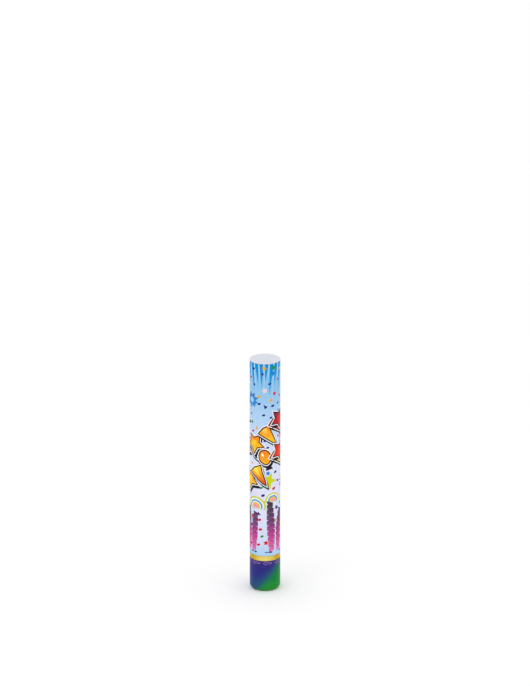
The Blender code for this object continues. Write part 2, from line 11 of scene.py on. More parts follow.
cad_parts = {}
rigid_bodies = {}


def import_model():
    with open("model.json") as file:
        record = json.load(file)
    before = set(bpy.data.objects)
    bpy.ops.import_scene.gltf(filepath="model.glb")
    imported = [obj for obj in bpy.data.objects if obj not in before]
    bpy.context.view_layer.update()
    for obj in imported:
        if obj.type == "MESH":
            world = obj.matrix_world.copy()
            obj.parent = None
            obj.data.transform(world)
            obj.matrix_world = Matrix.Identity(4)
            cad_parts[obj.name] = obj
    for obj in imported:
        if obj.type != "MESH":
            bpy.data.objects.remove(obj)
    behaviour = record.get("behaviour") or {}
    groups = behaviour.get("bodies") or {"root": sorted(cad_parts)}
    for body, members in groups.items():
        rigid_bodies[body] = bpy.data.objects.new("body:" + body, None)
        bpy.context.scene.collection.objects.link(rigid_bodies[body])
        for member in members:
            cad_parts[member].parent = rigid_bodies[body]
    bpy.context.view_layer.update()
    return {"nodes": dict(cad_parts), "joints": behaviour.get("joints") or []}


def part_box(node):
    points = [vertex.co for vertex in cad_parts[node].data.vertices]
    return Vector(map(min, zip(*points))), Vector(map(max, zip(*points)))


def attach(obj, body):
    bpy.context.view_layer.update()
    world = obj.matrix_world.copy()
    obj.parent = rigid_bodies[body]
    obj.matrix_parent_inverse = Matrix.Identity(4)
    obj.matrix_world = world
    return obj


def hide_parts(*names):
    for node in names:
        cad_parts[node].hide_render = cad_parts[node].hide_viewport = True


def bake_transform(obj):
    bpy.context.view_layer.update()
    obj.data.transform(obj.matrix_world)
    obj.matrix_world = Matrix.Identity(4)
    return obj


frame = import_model()
scene = bpy.context.scene
nodes = frame["nodes"]
mm, nearly = 0.001, 1e-5

labelLow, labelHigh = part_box("label_wrap")
filmLow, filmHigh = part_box("base_wrap")
bandLow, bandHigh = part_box("gold_band")
tubeLow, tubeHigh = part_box("barrel_tube")
capLow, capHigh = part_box("mouth_cap")
feltLow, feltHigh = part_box("felt_wad")
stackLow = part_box("confetti_stack_1")[0]
outerRadius = labelHigh.x
roundLength = 2 * pi * outerRadius / mm  # once round the label, in print millimetres
print("popper: frame loaded, outer radius %.1f mm" % (outerRadius / mm))


# Colours are picked as screen values and stored as light

def ink(red, green, blue):
    def light(value):
        value /= 255
        return value / 12.92 if value <= 0.04045 else ((value + 0.055) / 1.055) ** 2.4
    return (light(red), light(green), light(blue), 1)


def blended(first, second, share):
    share = min(max(share, 0), 1)
    return tuple(a + (b - a) * share for a, b in zip(first, second))


def eased(t):
    t = min(max(t, 0), 1)
    return t * t * (3 - 2 * t)


def along(stops, place):
    # Colour at a place on a list of (place, colour) stops, lowest first
    if place <= stops[0][0]:
        return stops[0][1]
    for (lowPlace, lowColour), (highPlace, highColour) in zip(stops, stops[1:]):
        if place <= highPlace:
            return blended(lowColour, highColour, (place - lowPlace) / (highPlace - lowPlace))
    return stops[-1][1]


# Helpers for shader trees

def feed(entry, value):
    # A node, by its first output, or a socket is linked. Any other value is set
    if isinstance(value, bpy.types.Node):
        value = next(socket for socket in value.outputs if socket.enabled)
    if isinstance(value, bpy.types.NodeSocket):
        entry.id_data.links.new(value, entry)
    else:
        entry.default_value = value


def setInputs(node, values):
    for key, value in values.items():
        feed(node.inputs[key.replace("_", " ")], value)
    return node


def addNode(tree, kind, **values):
    # A capitalised value goes to an input, any other is a setting of the node
    node = tree.nodes.new("ShaderNode" + kind)
    for key in [key for key in values if key[0].islower()]:
        setattr(node, key, values.pop(key))
    return setInputs(node, values)


def addMath(tree, operation, *values, kind="Math"):
    node = addNode(tree, kind, operation=operation)
    for entry, value in zip(node.inputs, values):
        feed(entry, value)
    return node


def addRange(tree, value, low, high, **values):
    return addNode(tree, "MapRange", Value=value, From_Min=low, From_Max=high, **values)


def addMix(tree, share, first, second, way="MIX"):
    return addNode(tree, "Mix", data_type="RGBA", blend_type=way, Factor=share, A=first, B=second)


# Shader node groups that several finishes share

def newGroup(name, inputs, outputs):
    # A socket's kind follows from its value: a number, a vector or a colour
    tree = bpy.data.node_groups.new(name, "ShaderNodeTree")
    inputs = {"Vector": (0, 0, 0), **inputs}
    for way, sockets in (("INPUT", inputs), ("OUTPUT", outputs)):
        for label, value in sockets.items():
            kind = {1: "Float", 3: "Vector", 4: "Color"}[np.size(value)]
            socket = tree.interface.new_socket(name=label, in_out=way,
                                               socket_type="NodeSocket" + kind)
            socket.default_value = value
    given, made = tree.nodes.new("NodeGroupInput"), tree.nodes.new("NodeGroupOutput")
    return tree, given.outputs, made


def buildGrain():
    # Fine moulded or rolled grain: a height for bump and a mask for roughness
    tree, given, made = newGroup("surfaceGrain", {"Scale": 900, "Coarse": 0.25},
                                 {"Height": 0.5, "Mask": 0.5})
    fine = addNode(tree, "TexNoise", Vector=given["Vector"], Scale=given["Scale"], Detail=4,
                   Roughness=0.6)
    coarse = addNode(tree, "TexNoise", Vector=given["Vector"], Detail=2, Roughness=0.5,
                     Scale=addMath(tree, "MULTIPLY", given["Scale"], 0.12))
    height = addNode(tree, "Mix", data_type="FLOAT", Factor=given["Coarse"], A=fine, B=coarse)
    setInputs(made, {"Height": height, "Mask": addRange(tree, coarse, 0.35, 0.65)})
    return tree


def buildTint():
    # Slow patches of a second colour over the first
    tree, given, made = newGroup("patchTint", {
        "Color": (1, 1, 1, 1), "Patch": (0.5, 0.5, 0.5, 1), "Scale": 60,
        "Amount": 0.2}, {"Color": (1, 1, 1, 1)})
    noise = addNode(tree, "TexNoise", Vector=given["Vector"], Scale=given["Scale"], Detail=5,
                    Roughness=0.62)
    weight = addMath(tree, "MULTIPLY", addRange(tree, noise, 0.38, 0.7), given["Amount"])
    setInputs(made, {"Color": addMix(tree, weight, given["Color"], given["Patch"])})
    return tree


def buildScuff():
    # Hair-fine rubs that run round the popper where hands turn it
    tree, given, made = newGroup("handScuff", {
        "Stretch": (1, 1, 9), "Scale": 160, "Amount": 0.5}, {"Mask": 0.5})
    stretched = addMath(tree, "MULTIPLY", given["Vector"], given["Stretch"], kind="VectorMath")
    noise = addNode(tree, "TexNoise", Vector=stretched, Scale=given["Scale"], Detail=6,
                    Roughness=0.7)
    patches = addNode(tree, "TexNoise", Vector=given["Vector"], Scale=38, Detail=2)
    both = addMath(tree, "MULTIPLY", addRange(tree, noise, 0.56, 0.72),
                   addRange(tree, patches, 0.45, 0.65))
    setInputs(made, {"Mask": addMath(tree, "MULTIPLY", both, given["Amount"])})
    return tree


def buildFibres():
    # Short crossed fibres of paper, board and felt
    tree, given, made = newGroup("paperFibres", {"Scale": 700},
                                 {"Height": 0.5, "Mask": 0.5})
    height = None
    for stretch in ((1, 0.16, 0.3), (0.2, 1, 0.9), (0.4, 0.5, 0.12)):
        squeeze = addMath(tree, "MULTIPLY", given["Vector"], stretch, kind="VectorMath")
        noise = addNode(tree, "TexNoise", Vector=squeeze, Scale=given["Scale"], Detail=3,
                        Distortion=0.6)
        height = addMath(tree, "MAXIMUM", height, noise) if height else noise
    setInputs(made, {"Height": height, "Mask": addRange(tree, height, 0.5, 0.75)})
    return tree


groups = {"grain": buildGrain(), "tint": buildTint(), "scuff": buildScuff(),
          "fibres": buildFibres()}
print("popper: shader groups built")


def newFinish(name, **values):
    material = bpy.data.materials.new(name)
    material.use_nodes = True
    tree = material.node_tree
    setInputs(tree.nodes["Principled BSDF"], values)
    return material, tree, addNode(tree, "TexCoord").outputs["Object"]


def useGroup(tree, key, where, **values):
    return addNode(tree, "Group", node_tree=groups[key], Vector=where, **values).outputs


def addTint(tree, where, colour, patch, scale, amount):
    return useGroup(tree, "tint", where, Color=colour, Patch=patch, Scale=scale,
                    Amount=amount)["Color"]


def joinSurface(material, colour, mask, roughness, height, bump, **values):
    # Roughness runs from smooth to rough over the mask. Bump is a strength and a distance
    tree = material.node_tree
    setInputs(tree.nodes["Principled BSDF"], {
        "Base Color": colour,
        "Roughness": addRange(tree, mask, 0, 1, To_Min=roughness[0], To_Max=roughness[1]),
        "Normal": addNode(tree, "Bump", Height=height, Strength=bump[0], Distance=bump[1]),
        **values})
    return material


def tintedFinish(name, colour, patch, patches, texture, roughness, bump, **values):
    # A colour in patches, with one group's mask and height for roughness and bump
    material, tree, where = newFinish(name, **values)
    key, settings = texture
    surface = useGroup(tree, key, where, **settings)
    return joinSurface(material, addTint(tree, where, colour, patch, *patches),
                       surface["Mask"], roughness, surface["Height"], bump)


def mouldedPlastic(name, colour, patch, roughness=0.4):
    return tintedFinish(name, colour, patch, (70, 0.35),
                        ("grain", {"Scale": 1400, "Coarse": 0.3}),
                        (roughness - 0.06, roughness + 0.08), (0.18, 0.0001))


def softRubber(name, colour, patch):
    return tintedFinish(name, colour, patch, (300, 0.6),
                        ("grain", {"Scale": 2600, "Coarse": 0.4}), (0.55, 0.75), (0.2, 0.0001))


def woolFelt(name, colour, patch):
    return tintedFinish(name, colour, patch, (260, 0.8), ("fibres", {"Scale": 900}),
                        (0.9, 0.98), (0.8, 0.0004), Sheen_Weight=0.3)


def workedMetal(name, colour, patch, roughness, stretch):
    # Drawn or turned metal: tool lines along the stretch
    material, tree, where = newFinish(name, Metallic=1)
    lines = useGroup(tree, "scuff", where, Stretch=stretch, Scale=420, Amount=1)
    grain = useGroup(tree, "grain", where, Scale=2200, Coarse=0.2)
    return joinSurface(material, addTint(tree, where, colour, patch, 90, 0.4), lines["Mask"],
                       (roughness, roughness + 0.2), grain["Height"], (0.12, 0.00008))


def addSeams(tree, where, colour, height, turnWidth):
    # The spiral seams of a wound tube, which rise by one turn's width in each turn
    split = addNode(tree, "SeparateXYZ", Vector=where).outputs
    rise = addRange(tree, addMath(tree, "ARCTAN2", split["Y"], split["X"]), -pi, pi,
                    clamp=False, To_Min=0, To_Max=turnWidth)
    seam = addMath(tree, "PINGPONG", addMath(tree, "ADD", split["Z"], rise), 0.5 * turnWidth)
    line = addRange(tree, seam, 0, 0.0005, To_Min=1, To_Max=0)
    return (addMix(tree, line, colour, (0.45, 0.42, 0.38, 1), "MULTIPLY"),
            addMath(tree, "SUBTRACT", height, line))


def fibreBoard(name, colour, patch, turnWidth=0):
    # Grey board, pressed, or wound with a turn's width
    material, tree, where = newFinish(name)
    fibres = useGroup(tree, "fibres", where, Scale=620)
    tint = addTint(tree, where, colour, patch, 110, 0.55)
    surface = addMix(tree, fibres["Mask"], tint, (0.72, 0.7, 0.66, 1), "MULTIPLY")
    height = fibres["Height"]
    if turnWidth:
        surface, height = addSeams(tree, where, surface, height, turnWidth)
    return joinSurface(material, surface, fibres["Mask"], (0.78, 0.92), height,
                       (0.35, 0.00015))


def printedSheet(name, roughness, coat, paperGrain, scuffAmount):
    # The ink is a colour attribute on the sheet. Grain, varnish and rubs come from nodes
    material, tree, where = newFinish(name, Coat_Weight=coat, Coat_Roughness=0.12,
                                              Specular_IOR_Level=0.08)
    colours = addNode(tree, "Attribute", attribute_name="ink")
    fibres = useGroup(tree, "fibres", where, Scale=paperGrain)
    scuff = useGroup(tree, "scuff", where, Scale=150, Amount=scuffAmount)
    uneven = addMix(tree, fibres["Mask"], colours, (0.93, 0.93, 0.95, 1), "MULTIPLY")
    rubbed = addMix(tree, addMath(tree, "MULTIPLY", scuff["Mask"], 0.16), uneven,
                    (0.78, 0.79, 0.82, 1))
    return joinSurface(material, rubbed, scuff["Mask"], (roughness, roughness + 0.25),
                       fibres["Height"], (0.06, 0.00008))


def crinkledFoil(name, paintedHighlight, deep):
    # A painted highlight and a painted shade: the foil runs from pale in the middle of each copy
    # of the print, front and back, to deep between them, at the sides
    material, tree, where = newFinish(name, Metallic=0.85)
    side = addNode(tree, "SeparateXYZ", Vector=where).outputs["Y"]
    share = addRange(tree, addMath(tree, "MULTIPLY", side, side), 0.45 * outerRadius ** 2,
                     outerRadius ** 2)
    # The deep colour is the painted shade at the sides and also the colour of the slow patches
    tint = addTint(tree, where, addMix(tree, share, deep, paintedHighlight), deep, 55, 0.25)
    lines = useGroup(tree, "scuff", where, Stretch=(1, 1, 16), Scale=120, Amount=1)
    grain = useGroup(tree, "grain", where, Scale=500, Coarse=0.7)
    return joinSurface(material, tint, lines["Mask"], (0.24, 0.45), grain["Height"],
                       (0.12, 0.00015))


def tissuePaper(name):
    # A disc has two faces, so it covers 0.92 in all. The emission is a painted glow in the
    # tissue's colour, which stands in for light let through it
    material, tree, where = newFinish(name, Alpha=0.72, Specular_IOR_Level=0.15,
                                              Emission_Strength=0.25)
    colours = addNode(tree, "Attribute", attribute_name="ink")
    fibres = useGroup(tree, "fibres", where, Scale=420)
    thinner = addMix(tree, fibres["Mask"], colours, (0.93, 0.93, 0.93, 1), "MULTIPLY")
    return joinSurface(material, thinner, fibres["Mask"], (0.82, 0.95), fibres["Height"],
                       (0.1, 0.0001), **{"Emission Color": thinner})


# Helpers that make meshes

def addObject(name, data):
    made = bpy.data.objects.new(name, data)
    scene.collection.objects.link(made)
    return made


def dress(mesh, material):
    mesh.materials.clear()
    mesh.materials.append(material)


def linkPiece(name, mesh, material, cadNodes, body=None):
    piece = addObject(name, mesh)
    mesh.name = name
    dress(mesh, material)
    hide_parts(*cadNodes)
    if body:
        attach(piece, body)
    return piece


def settled(mesh, kind, sharpAngle=30, **settings):
    # The mesh after a modifier, smooth but for its corners
    carrier = addObject("settling", mesh)
    modifier = carrier.modifiers.new(kind, kind)
    for key, value in settings.items():
        setattr(modifier, key, value)
    graph = bpy.context.evaluated_depsgraph_get()
    finished = bpy.data.meshes.new_from_object(carrier.evaluated_get(graph))
    bpy.data.objects.remove(carrier, do_unlink=True)
    finished.shade_smooth()
    finished.set_sharp_from_angle(angle=radians(sharpAngle))
    return finished


def turnedMesh(outline, steps, closed=False):
    # Turns an outline of (radius, height) points round Z. It runs clockwise, with its solid side
    # on the right, so that the faces look outwards
    count = len(outline)
    lines = [(i, (i + 1) % count) for i in range(count if closed else count - 1)]
    mesh = bpy.data.meshes.new("outline")
    mesh.from_pydata([(r, 0, z) for r, z in outline], lines, [])
    return settled(mesh, "SCREW", steps=steps, render_steps=steps, use_merge_vertices=True,
                   merge_threshold=1e-6)


def arc(x, y, radius, start, end, steps):
    angles = [radians(start + (end - start) * i / steps) for i in range(steps + 1)]
    return [(x + radius * cos(a), y + radius * sin(a)) for a in angles]


def ring(width, height, steps):
    angles = [2 * pi * i / steps for i in range(steps)]
    return [(0.5 * width * cos(a), 0.5 * height * sin(a)) for a in angles]


# Flat shapes of the print, in millimetres: (along the girth, up the popper)

def turnedShape(points, x, y, turn, width=1, height=1):
    c, s = cos(radians(turn)), sin(radians(turn))
    return [(x + px * width * c - py * height * s, y + px * width * s + py * height * c)
            for px, py in points]


def starShape(x, y, size, waist, tips, turn):
    points = []
    for i in range(2 * tips):
        reach = size if i % 2 == 0 else size * waist
        angle = pi * (0.5 + i / tips)
        points.append((reach * cos(angle), reach * sin(angle)))
    return turnedShape(points, x, y, turn)


def ovalShape(x, y, width, height, turn, steps=14):
    return turnedShape(ring(width, height, steps), x, y, turn)


def petalShape(x, y, size, turn):
    points = [(-0.6, -0.5), (0, -0.62), (0.6, -0.5), (0.34, 0.12), (0.06, 0.75), (-0.2, 0.2)]
    return turnedShape(points, x, y, turn, size, size)


def flagShape(x, y, width, drop, turn):
    points = [(-0.5, 0), (-0.3, -0.36), (-0.12, -0.8), (0, -1), (0.12, -0.8),
              (0.3, -0.36), (0.5, 0), (0, 0.07)]
    return turnedShape(points, x, y, turn, width, drop)


def balloonShape(x, y, width, height, turn, steps=22):
    points = []
    for i in range(steps):
        angle = 2 * pi * (i + 0.5) / steps
        pinch = 1 - 0.3 * max(0, -sin(angle)) ** 3
        points.append((0.5 * width * cos(angle) * pinch, 0.5 * height * sin(angle)))
    return turnedShape(points, x, y, turn)


def knotShape(x, y, width, height, turn):
    # The tied end under a balloon of the same place and size
    points = [(0, -0.46), (-0.13, -0.62), (0.13, -0.62)]
    return turnedShape(points, x, y, turn, width, height)


def arrowRow(sheet):
    # Arrows once round the popper. A negative length points them left
    length, height, shaft, head = sheet["arrow"]
    neck, half = 0.5 - head, 0.5 * shaft / height
    points = [(-0.5, half), (neck, half), (neck, 0.5), (0.5, 0), (neck, -0.5), (neck, -half),
              (-0.5, -half)]
    pitch = roundLength / sheet["arrowCount"]
    return [turnedShape(points, (i + sheet["arrowShift"]) * pitch - 0.5 * roundLength,
                        sheet["arrowLevel"], 0, length, height)
            for i in range(sheet["arrowCount"])]


def ribbonShape(path):
    # A band along a path of (x, y, width)
    left, right = [], []
    for i, (x, y, width) in enumerate(path):
        before, after = path[max(i - 1, 0)], path[min(i + 1, len(path) - 1)]
        dx, dy = after[0] - before[0], after[1] - before[1]
        length = hypot(dx, dy)
        half = 0.5 * width
        left.append((x - dy / length * half, y + dx / length * half))
        right.append((x + dy / length * half, y - dx / length * half))
    return left + right[::-1]


def turningLeft(points):
    # The cutter takes a shape's inside to be on the left of its outline
    area = sum(a[0] * b[1] - b[0] * a[1] for a, b in zip(points, points[1:] + points[:1]))
    return points if area > 0 else points[::-1]


def grown(points, distance):
    # The shape with its outline moved outwards, with its sharpest corners cut back
    points = turningLeft(points)
    moved = []
    for i, point in enumerate(points):
        before, after = points[i - 1], points[(i + 1) % len(points)]
        first = Vector((point[0] - before[0], point[1] - before[1])).normalized()
        second = Vector((after[0] - point[0], after[1] - point[1])).normalized()
        normal = Vector((first.y + second.y, -first.x - second.x))
        reach = normal.length
        if reach < 1e-6:
            normal, reach = Vector((first.y, -first.x)), 1
        share = min(2 / reach, 1.9)
        move = normal / reach * distance * share
        moved.append((point[0] + move.x, point[1] + move.y))
    return moved


def addMotif(found, points, high, low=None):
    # One inked shape. Its colour runs from high at the top to low at the bottom
    levels = [y for _, y in points]
    stops = [(min(levels), low or high), (max(levels), high)]
    found.append({"points": turningLeft(points), "stops": stops})


def printedMesh(sheet, motifs, ground, place):
    # Cuts a flat sheet along the print's outlines, colours each piece by its topmost motif, and
    # wraps it round the popper
    corners, lines, areas, owners = [], [], [], []

    def addArea(points, owner):
        first = len(corners)
        corners.extend(Vector(point) for point in points)
        areas.append(list(range(first, len(corners))))
        owners.append(owner)

    left, right, low, high = sheet["left"], sheet["right"], sheet["low"], sheet["high"]
    addArea([(left, low), (right, low), (right, high), (left, high)], None)
    cuts = [((x, low), (x, high)) for x in evenSteps(left, right, sheet["columns"])]
    cuts += [((left, y), (right, y)) for y in sheet["rows"]]
    for start, end in cuts:
        lines.append((len(corners), len(corners) + 1))
        corners.extend((Vector(start), Vector(end)))
    for item in motifs:
        across = [x for x, _ in item["points"]]
        for shift in (-roundLength, 0, roundLength):
            if min(across) + shift < right and max(across) + shift > left:
                addArea([(x + shift, y) for x, y in item["points"]], item)
    flat, _, faces, _, _, origins = delaunay_2d_cdt(corners, lines, areas, 1, 1e-3, True)
    kept = [(face, max(found)) for face, found in zip(faces, origins) if 0 in found]
    used = sorted({i for face, _ in kept for i in face})
    order = {old: new for new, old in enumerate(used)}
    mesh = bpy.data.meshes.new("print")
    mesh.from_pydata([place(*flat[i]) for i in used], [],
                     [[order[i] for i in face] for face, _ in kept])
    colours = mesh.color_attributes.new("ink", "FLOAT_COLOR", "CORNER")
    corner = 0
    for face, found in kept:
        item = owners[found]
        for i in face:
            x, y = flat[i]
            colours.data[corner].color = along(item["stops"], y) if item else ground(x, y)
            corner += 1
    return settled(mesh, "SOLIDIFY", thickness=sheet["thickness"] * mm, offset=-1,
                   use_rim=True, use_quality_normals=True)


def roundPoint(x, radius, height):
    angle = x * mm / outerRadius
    return (radius * sin(angle), -radius * cos(angle), height)


def evenSteps(low, high, count):
    return [low + (high - low) * i / count for i in range(1, count)]


def levelsBetween(low, high, step):
    return evenSteps(low, high, max(int((high - low) / step), 1))


# The printed label on the barrel. Places are millimetres from the middle of a copy of the print
# and up from the floor

white, nearBlack, navy = ink(246, 246, 250), ink(22, 18, 24), ink(38, 40, 118)
red, orange, yellow = ink(222, 34, 30), ink(244, 120, 22), ink(252, 206, 34)

label = {
    "thickness": 0.3, "columns": 132, "rowStep": 9,
    "lap": 4.5, "lapRise": 0.34, "lapRamp": 5,  # the paper's end lies over its start, at the back
    "copies": (0, 0.5),  # the print comes twice round the barrel
    "sky": [(62, ink(165, 205, 238)), (84, ink(205, 216, 240)), (150, ink(221, 222, 242)),
            (236, ink(216, 222, 244)), (300, ink(174, 206, 238)), (345, ink(144, 194, 230)),
            (394, ink(104, 180, 226))],
    "flank": ink(122, 190, 234), "flankShare": 0.55, "flankShift": 4,
    "flankFade": (230, 110),  # from nothing to all, by height
    "rayCount": 18, "rayLean": 4.5, "rayLengths": (48, 34, 42, 30, 56, 38),
    "rayInks": (ink(0, 134, 206), ink(30, 152, 216)), "glintInk": ink(190, 226, 246),
    "scatterCount": 215, "scatterGap": 9.4, "scatterSizes": (1.5, 2.05),
    "scatterKinds": (0.42, 0.33),  # shares of ovals and petals, and the rest are stars
    "scatterMargins": (3, 14, 5),  # at the sides, below and above
    "scatterInks": [ink(206, 20, 44), ink(34, 34, 124), ink(226, 164, 10), ink(14, 142, 60),
                    ink(236, 204, 216), ink(24, 128, 200), ink(206, 20, 44), ink(34, 34, 124)],
    "seed": 41,
    # The comet's place, height and width along its tail
    "comet": ((37, 262, 13), (33, 276, 10), (25, 288, 6), (15, 296, 0.8)),
    "cometInks": (ink(236, 104, 84), ink(214, 34, 26)),
    # Stars: place, height, size, waist, tips, turn, upper and lower ink
    "stars": ((-25, 330, 15, 0.58, 9, 12, ink(24, 112, 190), ink(58, 142, 208)),
              (-25, 330, 7, 0.5, 9, 30, ink(150, 205, 238), ink(150, 205, 238)),
              (37, 258, 9.5, 0.5, 5, 18, ink(240, 60, 36), red),
              (6, 193, 15.5, 0.42, 5, -24, ink(198, 204, 6), ink(206, 214, 20))),
    # Rainbows and rings: place, height, and a radius and screen values for each band
    "rounds": (
        ("rainbow", -16, 147, ((17.5, 196, 202, 14), (14.8, 236, 240, 226), (12.2, 54, 148, 206),
                               (9.6, 236, 238, 240), (7.6, 244, 176, 40), (4.4, 238, 150, 170))),
        ("rainbow", 14, 158, ((13.5, 200, 204, 16), (11.2, 238, 240, 232), (9, 64, 156, 212),
                              (6.6, 246, 184, 48), (3.6, 240, 156, 176))),
        ("ring", 34, 115, ((12, 60, 158, 196), (9.8, 206, 226, 226), (8.6, 226, 206, 10))),
        ("ring", -37, 196, ((6.5, 40, 140, 206), (4.6, 235, 240, 246), (3, 206, 32, 52)))),
    "rainbowAngles": (-12, 192),
    # Garlands: start, end, sag, and the kind, size, upper and lower ink of what hangs on it
    "garlands": (
        ((-40, 254), (36, 318), 5,
         (("flag", 21, red, orange), ("star", 20, orange, yellow), ("flag", 21, orange, yellow),
          ("flag", 21, red, ink(236, 70, 26)), ("star", 20, ink(120, 24, 52), red))),
        ((-38, 200), (38, 262), 6,
         (("star", 20.5, orange, yellow), ("flag", 21.5, yellow, red),
          ("balloon", 19, orange, ink(250, 176, 30)), ("flag", 21.5, orange, yellow),
          ("star", 20, red, ink(240, 70, 26))))),
    "cordWidth": 1.3,
    # Curled streamers: place, height, lean, width, turns
    "curls": ((-33, 74, -2, 13, 8), (-20, 66, 4, 12, 8), (11, 84, -3, 13, 9), (25, 70, 5, 12, 8)),
    "curlFoot": 72,
    "curlBelly": (0.72, 0.4),  # share of the width at the ends, and what the middle adds
    "curlBands": (0.5, 0.86),  # shares of a turn that the band takes behind and in front
    "curlInks": [(72, ink(222, 100, 168)), (98, ink(186, 16, 130)), (122, ink(104, 22, 104)),
                 (150, ink(46, 18, 38))],
    "arrowCount": 6, "arrowShift": 0.25, "arrowLevel": 68.6,
    "arrow": (13.5, 4.4, 1.5, 0.34),  # length, height, shaft, and the head's share
}

labelFoot, labelTop = labelLow.z / mm, labelHigh.z / mm


def labelGround(x, y):
    # A bluer flank to the right of each copy, lower down
    high, low = label["flankFade"]
    flank = 0.5 - 0.5 * cos(4 * pi * (x - label["flankShift"]) / roundLength)
    share = label["flankShare"] * flank ** 3 * min(max((high - y) / (high - low), 0), 1)
    return blended(along(label["sky"], y), label["flank"], share)


def addChunky(found, points, high, low, rim=1.9, halo=3.2, drop=(2.8, -5)):
    # Over its own dark shade and a white halo, a shape has a black rim
    shade = [(x + drop[0], y + drop[1]) for x, y in grown(points, halo * 0.85)]
    addMotif(found, shade, ink(26, 22, 30))
    addMotif(found, grown(points, halo), white)
    addMotif(found, grown(points, rim), nearBlack)
    addMotif(found, points, high, low)


def addHung(found, kind, x, y, size, turn, high, low):
    # One piece of a garland, with a smaller motif in its middle
    if kind == "flag":
        addChunky(found, flagShape(x, y, size, size * 1.5, turn), high, low)
        inner = flagShape(x, y, size * 0.5, size * 0.72, turn)
        addMotif(found, inner, ink(255, 226, 92), high)
    elif kind == "star":
        y -= 0.55 * size
        addChunky(found, starShape(x, y, size * 0.82, 0.52, 5, turn), high, low)
        addMotif(found, starShape(x, y, size * 0.36, 0.52, 5, turn), low)
    else:
        place = (x, y + 0.45 * size, size * 0.95, size * 1.25, turn * 0.4)
        addChunky(found, knotShape(*place), high, low)
        addChunky(found, balloonShape(*place), high, low)
        shine = ovalShape(x - 0.2 * size, y + 0.66 * size, size * 0.2, size * 0.36, 20)
        addMotif(found, shine, ink(255, 236, 190))


def addGarland(found, start, end, sag, pieces, steps=18):
    # A slanted cord with pieces hung along it
    path = []
    for i in range(steps + 1):
        t = i / steps
        path.append((start[0] + (end[0] - start[0]) * t,
                     start[1] + (end[1] - start[1]) * t - sag * 4 * t * (1 - t),
                     label["cordWidth"]))
    cord = ribbonShape(path)
    addMotif(found, grown(cord, 0.9), white)
    addMotif(found, cord, nearBlack)
    for i, (kind, size, high, low) in enumerate(pieces):
        nearest = round((i + 0.5) / len(pieces) * steps)
        x, y, _ = path[nearest]
        before, after = path[nearest - 1], path[min(nearest + 1, steps)]
        turn = degrees(atan2(after[1] - before[1], after[0] - before[0]))
        addHung(found, kind, x, y, size, turn, high, low)


def addCurl(found, x, height, lean, width, turns):
    # A curled streamer: its bands rise to the right in front, and go back behind
    pitch, bottom = height / turns, label["curlFoot"]
    least, belly = label["curlBelly"]
    for front in (False, True):
        for i in range(turns):
            low, high = [], []
            for j in range(9):
                angle = pi * (j / 8 - 0.5) + (0 if front else pi)
                y = i * pitch + pitch * (angle / (2 * pi) + 0.25)
                share = y / height
                half = 0.5 * width * (least + belly * sin(pi * min(share, 1)))
                spot = x + lean * share ** 2 + half * sin(angle)
                band = pitch * label["curlBands"][front]
                low.append((spot, bottom + y - 0.5 * band))
                high.append((spot, bottom + y + 0.5 * band))
            colour = along(label["curlInks"], bottom + (i + 0.5) * pitch)
            if not front:
                colour = blended(colour, nearBlack, 0.5)
            addMotif(found, low + high[::-1], colour, blended(colour, white, 0.1))


def addRays(found):
    # Rays come down from the mouth, with a pale glint between each two
    top, pitch = labelTop, roundLength / label["rayCount"]
    for i in range(label["rayCount"]):
        x = -0.5 * roundLength + (i + 0.3) * pitch
        drop = label["rayLengths"][i % len(label["rayLengths"])]
        # The rays lean towards the middle of each copy as they come down
        lean = -label["rayLean"] * sin(4 * pi * (x + 0.5 * pitch) / roundLength)
        half = 0.4 * pitch
        ray = [(x - half, top + 1), (x + lean, top - drop), (x + half, top + 1)]
        addMotif(found, ray, *label["rayInks"])
        between, tip = x + half + 0.1 * pitch, top - 1.4 * drop
        glint = [(between - 0.9, top + 1), (x + 0.5 * pitch + 1.15 * lean, tip),
                 (between + 0.9, top + 1)]
        addMotif(found, glint, label["glintInk"], along(label["sky"], tip))


def addFlecks(found):
    # Small ovals, petals and stars, scattered with a gap between them
    rng = random.Random(label["seed"])
    side, below, above = label["scatterMargins"]
    ovals, petals = label["scatterKinds"]
    placed = []
    while len(placed) < label["scatterCount"]:
        x = rng.uniform(-0.5 * roundLength + side, 0.5 * roundLength - side)
        y = rng.uniform(labelFoot + below, labelTop - above)
        if any(hypot(x - px, y - py) < label["scatterGap"] for px, py in placed):
            if rng.random() < 0.02:  # so that a full sheet ends the search
                placed.append((x, y))
            continue
        placed.append((x, y))
        kind, size, turn = rng.random(), rng.uniform(*label["scatterSizes"]), rng.uniform(0, 360)
        if kind < ovals:
            shape = ovalShape(x, y, 3.5 * size, 2.2 * size, 12 + turn / 18, 12)
        elif kind < ovals + petals:
            shape = petalShape(x, y, 2.6 * size, turn)
        else:
            shape = starShape(x, y, 2.7 * size, 0.5, 5, turn)
        addMotif(found, shape, rng.choice(label["scatterInks"]))


def labelMotifs():
    found = []
    addRays(found)
    addFlecks(found)
    for copy in label["copies"]:
        middle = copy * roundLength
        comet = ribbonShape([(middle + x, y, width) for x, y, width in label["comet"]])
        addMotif(found, comet, *label["cometInks"])
        for x, y, *star, high, low in label["stars"]:
            addMotif(found, starShape(middle + x, y, *star), high, low)
        for kind, x, y, bands in label["rounds"]:
            for radius, *rgb in bands:
                shape = ovalShape(middle + x, y, 2 * radius, 2 * radius, 0, 26)
                if kind == "rainbow":
                    shape = arc(middle + x, y, radius, *label["rainbowAngles"], 22)
                addMotif(found, shape, ink(*rgb))
        for (x0, y0), (x1, y1), sag, pieces in label["garlands"]:
            addGarland(found, (middle + x0, y0), (middle + x1, y1), sag, pieces)
        for x, *curl in label["curls"]:
            addCurl(found, middle + x, *curl)
    for arrow in arrowRow(label):
        addMotif(found, arrow, navy)
    return found


def labelPlace(x, y):
    # The end of the paper climbs over its start
    share = (x - 0.5 * roundLength) / label["lapRamp"] + 1
    return roundPoint(x, outerRadius + label["lapRise"] * eased(share) * mm, y * mm)


